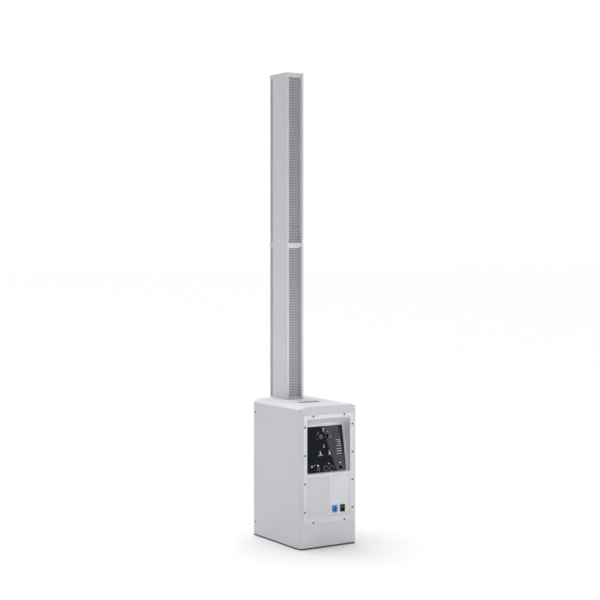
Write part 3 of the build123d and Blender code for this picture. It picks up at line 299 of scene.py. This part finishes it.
def polished(name, color, roughness=0.05, **sockets):
    """Gloss surface with the faintest unevenness."""
    finish = shader(name, color, **sockets)
    mottle(finish, color, 0.05, 18.0)
    uneven_gloss(finish, roughness, roughness + 0.02, 55.0)
    grain(finish, 35.0, 0.00002, 0.15)
    return finish


def bare_metal(name, color, low, high, stretch=(1, 1, 1)):
    """Metal with fine marks along one direction."""
    finish = shader(name, color, metallic=1.0)
    mottle(finish, color, 0.06, 60.0)
    uneven_gloss(finish, low, high, 90.0)
    grain(finish, 700.0, 0.00004, 0.4, stretch)
    return finish


def cloth(name, color):
    """Open black foam or acoustic cloth."""
    finish = shader(name, color, roughness=0.95, Sheen_Weight=0.25, Sheen_Roughness=0.5)
    mottle(finish, color, 0.35, 350.0)
    grain(finish, 1500.0, 0.0004, 0.9)
    return finish


def rubber(name, color):
    """Matt moulded rubber."""
    finish = shader(name, color)
    mottle(finish, color, 0.15, 25.0)
    uneven_gloss(finish, 0.6, 0.8, 45.0)
    grain(finish, 800.0, 0.0001, 0.5)
    return finish


def lamp_and_painted_glow(name, color, strength):
    """Translucent white with emission: on the lamps it is their light from behind; on the buttons it is a painted
    glow that brightens them.
    """
    finish = moulded(name, color, 0.25, 0.35)
    finish.shader.inputs["Emission Color"].default_value = (*color, 1)
    finish.shader.inputs["Emission Strength"].default_value = strength
    return finish


def timber(name, color):
    """Black-stained plywood."""
    finish = shader(name, color)
    mottle(finish, color, 0.3, 40.0)
    uneven_gloss(finish, 0.7, 0.85, 30.0)
    grain(finish, 120.0, 0.0002, 0.6, (1, 1, 12))
    return finish


def make_finishes():
    """One finish for every material slot of the record."""
    return {
        "cabinet_white": textured_paint("cabinet_white", WHITE),
        "panel_white": moulded("panel_white", PANEL_WHITE, 0.30, 0.38, 0.9),
        "base_black": moulded("base_black", (0.012, 0.012, 0.013), 0.8, 0.9, 0.2),
        "rubber_black": rubber("rubber_black", (0.03, 0.03, 0.03)),
        "screw_dark": bare_metal("screw_dark", (0.10, 0.10, 0.12), 0.35, 0.5),
        "grille_white": powder_coat("grille_white", WHITE),
        "foam_black": cloth("foam_black", (0.02, 0.02, 0.022)),
        "board_wood": timber("board_wood", (0.05, 0.048, 0.045)),
        "inner_plastic": moulded("inner_plastic", (0.05, 0.05, 0.055)),
        "cast_frame": powder_coat("cast_frame", (0.10, 0.10, 0.11)),
        "magnet_iron": bare_metal("magnet_iron", (0.20, 0.20, 0.21), 0.4, 0.6),
        "surround_rubber": rubber("surround_rubber", (0.02, 0.02, 0.02)),
        "cone_paper": cloth("cone_paper", (0.05, 0.05, 0.055)),
        "glass_black": polished("glass_black", (0.012, 0.014, 0.022), 0.0),
        "knob_black": moulded("knob_black", (0.022, 0.022, 0.024), 0.28, 0.36, 0.8),
        "shaft_steel": bare_metal("shaft_steel", (0.55, 0.55, 0.56), 0.25, 0.4, (1, 1, 20)),
        "lamp_white": lamp_and_painted_glow("lamp_white", (0.92, 0.93, 0.95), 0.25),
        # Painted glow: the buttons are no lamps; their emission is painted light that makes them brighter.
        "button_white": lamp_and_painted_glow("button_white", (0.93, 0.93, 0.95), 0.3),
        "socket_black": moulded("socket_black", (0.02, 0.02, 0.022)),
        "inlet_blue": polished("inlet_blue", (0.07, 0.33, 0.78), 0.25),
        "switch_black": polished("switch_black", (0.012, 0.012, 0.014), 0.12),
        "board_green": moulded("board_green", (0.02, 0.15, 0.07), 0.25, 0.4),
        "supply_metal": bare_metal("supply_metal", (0.60, 0.60, 0.62), 0.3, 0.45),
        "heat_sink_white": powder_coat("heat_sink_white", WHITE),
        "column_white": powder_coat("column_white", WHITE),
        "cap_white": moulded("cap_white", WHITE, 0.32, 0.40, 0.9),
        "contact_brass": bare_metal("contact_brass", (0.80, 0.62, 0.30), 0.2, 0.35),
    }


def dress(finishes):
    """Gives every CAD node its finish."""
    for part in frame["record"]["subparts"]:
        mesh = NODES[part["node"]].data
        mesh.materials.clear()
        mesh.materials.append(finishes[part["material_slot"]].material)


# ---------------------------------------------------------------- perforated grilles

def note_rims(rims, ring, width, height):
    """Adds the corners of a cell that lie on an edge of the sheet to that edge's set."""
    for a, b in ring:
        if a == 0:
            rims["left"].add(b)
        if a == width:
            rims["right"].add(b)
        if b == 0:
            rims["low"].add(a)
        if b == height:
            rims["high"].add(a)


def rim_faces(rims, width, height, corner):
    """Narrow faces that join front and back along the four edges of the sheet."""
    faces = []
    for name, values in rims.items():
        line = sorted(values)
        for a, b in zip(line, line[1:]):
            ends = {"left": ((0, a), (0, b)), "right": ((width, b), (width, a)),
                    "low": ((b, 0), (a, 0)), "high": ((a, height), (b, height))}[name]
            (ua, va), (ub, vb) = ends
            faces.append([corner(ua, va, 0), corner(ub, vb, 0), corner(ub, vb, 1), corner(ua, va, 1)])
    return faces


def honeycomb(width, height, pitch, open_share, border):
    """Punched sheet in flat form: hexagonal cells over a rectangle, squared off at its edges.

    The pitch is eased so that alternate rows reach the left and the right edge. Gives the flat
    corners (u, v, side) with side 0 for the front and 1 for the back, and the faces.
    """
    pitch = width / (round(width / pitch - 0.5) + 0.5)
    radius = pitch / sqrt(3)
    row_step = pitch * sqrt(3) / 2
    turns = [radians(90 + 60 * k) for k in range(6)]
    corners = {}
    points = []
    faces = []

    def corner(u, v, side):
        key = (round(u * CORNER_GRID), round(v * CORNER_GRID), side)
        if key not in corners:
            corners[key] = len(points)
            points.append((u, v, side))
        return corners[key]

    scale = sqrt(open_share)
    rows = int(height / row_step) + 3
    columns = int(width / pitch) + 3
    u0 = -pitch / 2
    v0 = (height - (rows - 1) * row_step) / 2
    rims = {"left": set(), "right": set(), "low": set(), "high": set()}
    for row in range(rows):
        for column in range(-1, columns + 1):
            u = u0 + column * pitch + (row % 2) * pitch / 2
            v = v0 + row * row_step
            raw = [(u + radius * cos(t), v + radius * sin(t)) for t in turns]
            ring = [(min(max(a, 0), width), min(max(b, 0), height)) for a, b in raw]
            area = sum(ring[k][0] * ring[(k + 1) % 6][1] - ring[(k + 1) % 6][0] * ring[k][1]
                       for k in range(6)) / 2
            if area < radius * radius * SLIVER:
                continue
            front = [corner(a, b, 0) for a, b in ring]
            back = [corner(a, b, 1) for a, b in ring]
            note_rims(rims, ring, width, height)
            inside = border < u < width - border and border < v < height - border
            if not inside:
                faces.append(list(dict.fromkeys(front)))
                faces.append(list(dict.fromkeys(back))[::-1])
                continue
            hole = [(u + scale * radius * cos(t), v + scale * radius * sin(t)) for t in turns]
            near = [corner(a, b, 0) for a, b in hole]
            far = [corner(a, b, 1) for a, b in hole]
            for k in range(6):
                n = (k + 1) % 6
                faces.append([front[k], front[n], near[n], near[k]])
                faces.append([back[n], back[k], far[k], far[n]])
                faces.append([near[k], near[n], far[n], far[k]])
    faces += rim_faces(rims, width, height, corner)
    return points, [face for face in faces if len(face) > 2]


def sheet_piece(name, body, slot, points, faces):
    """A thin visual piece that rides on a body."""
    mesh = bpy.data.meshes.new(name)
    mesh.from_pydata(points, [], faces)
    mesh.validate()
    mesh.materials.append(FINISHES[slot].material)
    piece = bpy.data.objects.new(name, mesh)
    bpy.context.scene.collection.objects.link(piece)
    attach(piece, body)
    return piece


def grille(node, body, pitch, open_share, border, sheet, bend, stretch=1.0):
    """Punched sheet in the place of a plain CAD one. bend places a flat point in the frame."""
    low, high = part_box(node)
    width, place = bend(low, high)
    points, faces = honeycomb(width, (high.z - low.z) / stretch, pitch, open_share, border)
    placed = [place(u, v * stretch, side * sheet) for u, v, side in points]
    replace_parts(sheet_piece(node + "_punched", body, "grille_white", placed, faces), node)


def lining(node, body, depth, thickness, bend):
    """Thin black foam laid against the inside of a folded front sheet."""
    low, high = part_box(node)
    width, place = bend(low, high)
    height = high.z - low.z
    points = []
    for k in range(FOAM_STEPS + 1):
        u = width * k / FOAM_STEPS
        points += [place(u, v, inset) for v in (0, height) for inset in (depth, depth + thickness)]
    faces = []
    for k in range(FOAM_STEPS):
        a, b = 4 * k, 4 * k + 4
        faces += [[a, b, b + 2, a + 2], [a + 1, a + 3, b + 3, b + 1], [a, a + 1, b + 1, b],
                  [a + 2, b + 2, b + 3, a + 3]]
    last = 4 * FOAM_STEPS
    faces += [[0, 2, 3, 1], [last, last + 1, last + 3, last + 2]]
    sheet_piece(node.replace("grille", "foam"), body, "foam_black", points, faces)


def flat_rear(low, high):
    """A flat upright sheet that faces the rear."""
    def place(u, v, inset):
        return (high.x - u, high.y - inset, low.z + v)
    return high.x - low.x, place


def folded_front(corner):
    """A front sheet with its sides folded back round two rounded corners."""
    def bend(low, high):
        side = high.y - low.y - corner
        arc = corner * pi / 2
        face = high.x - low.x - 2 * corner

        def place(u, v, inset):
            z = low.z + v
            if u < side:
                return (low.x + inset, high.y - u, z)
            if u < side + arc:
                turn = (u - side) / corner
                reach = corner - inset
                return (low.x + corner - reach * cos(turn), low.y + corner - reach * sin(turn), z)
            if u < side + arc + face:
                return (low.x + corner + u - side - arc, low.y + inset, z)
            if u < side + 2 * arc + face:
                turn = (u - side - arc - face) / corner
                reach = corner - inset
                return (high.x - corner + reach * sin(turn), low.y + corner - reach * cos(turn), z)
            return (high.x - inset, low.y + corner + u - side - 2 * arc - face, z)
        return 2 * side + 2 * arc + face, place
    return bend


def grilles():
    """All five punched steel sheets."""
    column_fold = folded_front(COLUMN_CORNER)
    for name in ("lower", "upper"):
        body = name + "_column"
        grille(name + "_rear_grille", body, CELL_PITCH, REAR_OPEN, PLAIN_BORDER, COLUMN_SHEET,
               flat_rear, REAR_STRETCH)
        grille(name + "_front_grille", body, CELL_PITCH, FRONT_OPEN, PLAIN_BORDER, COLUMN_SHEET,
               column_fold)
        lining(name + "_front_grille", body, FOAM_DEPTH, FOAM_THICKNESS, column_fold)
    grille("subwoofer_grille", "subwoofer", CELL_PITCH, FRONT_OPEN, PLAIN_BORDER, SUBWOOFER_SHEET,
           folded_front(SUBWOOFER_CORNER))


# ---------------------------------------------------------------- marks on the console glass

KNOB = next(j for j in frame["joints"] if j["name"] == "left_knob_turn")
NORMAL = Vector(KNOB["axis"])
UP_GLASS = Vector((0, -NORMAL.z, NORMAL.y))
GLASS_ORIGIN = Vector(KNOB["pos_m"]) - UP_GLASS * (KNOB_ROW * MM) - Vector((KNOB_XS[0] * MM, 0, 0))
GLASS_SKIN = 0.8 * MM
INK = 0.12 * MM
INK_SUNK = 0.02 * MM


def on_glass(x, s, height=0.0):
    """A point on the glass from x and the distance s up it, both in millimetres."""
    return GLASS_ORIGIN + Vector((x * MM, 0, 0)) + UP_GLASS * (s * MM) + NORMAL * (GLASS_SKIN + height)


def prism(bm, outline):
    """Thin printed shape on the glass from its outline in x and s, going round as seen from behind."""
    top = [bm.verts.new(on_glass(x, s, INK)) for x, s in outline]
    bottom = [bm.verts.new(on_glass(x, s, -INK_SUNK)) for x, s in outline]
    bm.faces.new(top)
    bm.faces.new(bottom[::-1])
    count = len(outline)
    for k in range(count):
        n = (k + 1) % count
        bm.faces.new([top[n], top[k], bottom[k], bottom[n]])


def bar(bm, x, s, width, height):
    """Printed rectangle centred on x and s."""
    prism(bm, [(x + width / 2, s - height / 2), (x - width / 2, s - height / 2),
               (x - width / 2, s + height / 2), (x + width / 2, s + height / 2)])


def arc_mark(bm, x, s, radius, width, start, end, steps):
    """Part of a printed ring, as short bars joined end to end."""
    for k in range(steps):
        a = radians(start + (end - start) * k / steps)
        b = radians(start + (end - start) * (k + 1) / steps)
        inner, outer = radius - width / 2, radius + width / 2
        prism(bm, [(x - inner * sin(a), s + inner * cos(a)), (x - outer * sin(a), s + outer * cos(a)),
                   (x - outer * sin(b), s + outer * cos(b)), (x - inner * sin(b), s + inner * cos(b))][::-1])


def console_marks():
    """Generic printed marks: scales round the knobs, bars beside lamps and rings round sockets."""
    bm = bmesh.new()
    for x in KNOB_XS:
        arc_mark(bm, x, KNOB_ROW, SCALE_RADIUS, RING_WIDTH, -SCALE_SWEEP, SCALE_SWEEP, 40)
    for x, s, width, height in TOP_BARS + BUTTON_BARS + SOCKET_BARS:
        bar(bm, x, s, width, height)
    for s, width in LIST_BARS:
        bar(bm, LIST_X, s, width, LIST_HEIGHT)
    for x, radius in SOCKET_RINGS:
        arc_mark(bm, x, SOCKET_ROW, radius, RING_WIDTH, 0, 360, 36)
    mesh = bpy.data.meshes.new("console_marks")
    bm.to_mesh(mesh)
    bm.free()
    marks = bpy.data.objects.new("console_marks", mesh)
    bpy.context.scene.collection.objects.link(marks)
    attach(marks, "subwoofer")
    ink = moulded("mark_white", MARK_WHITE, 0.4, 0.5)
    mesh.materials.append(ink.material)


# ---------------------------------------------------------------- everything together

FINISHES = make_finishes()
camera()
studio()
floor()
dress(FINISHES)
grilles()
console_marks()
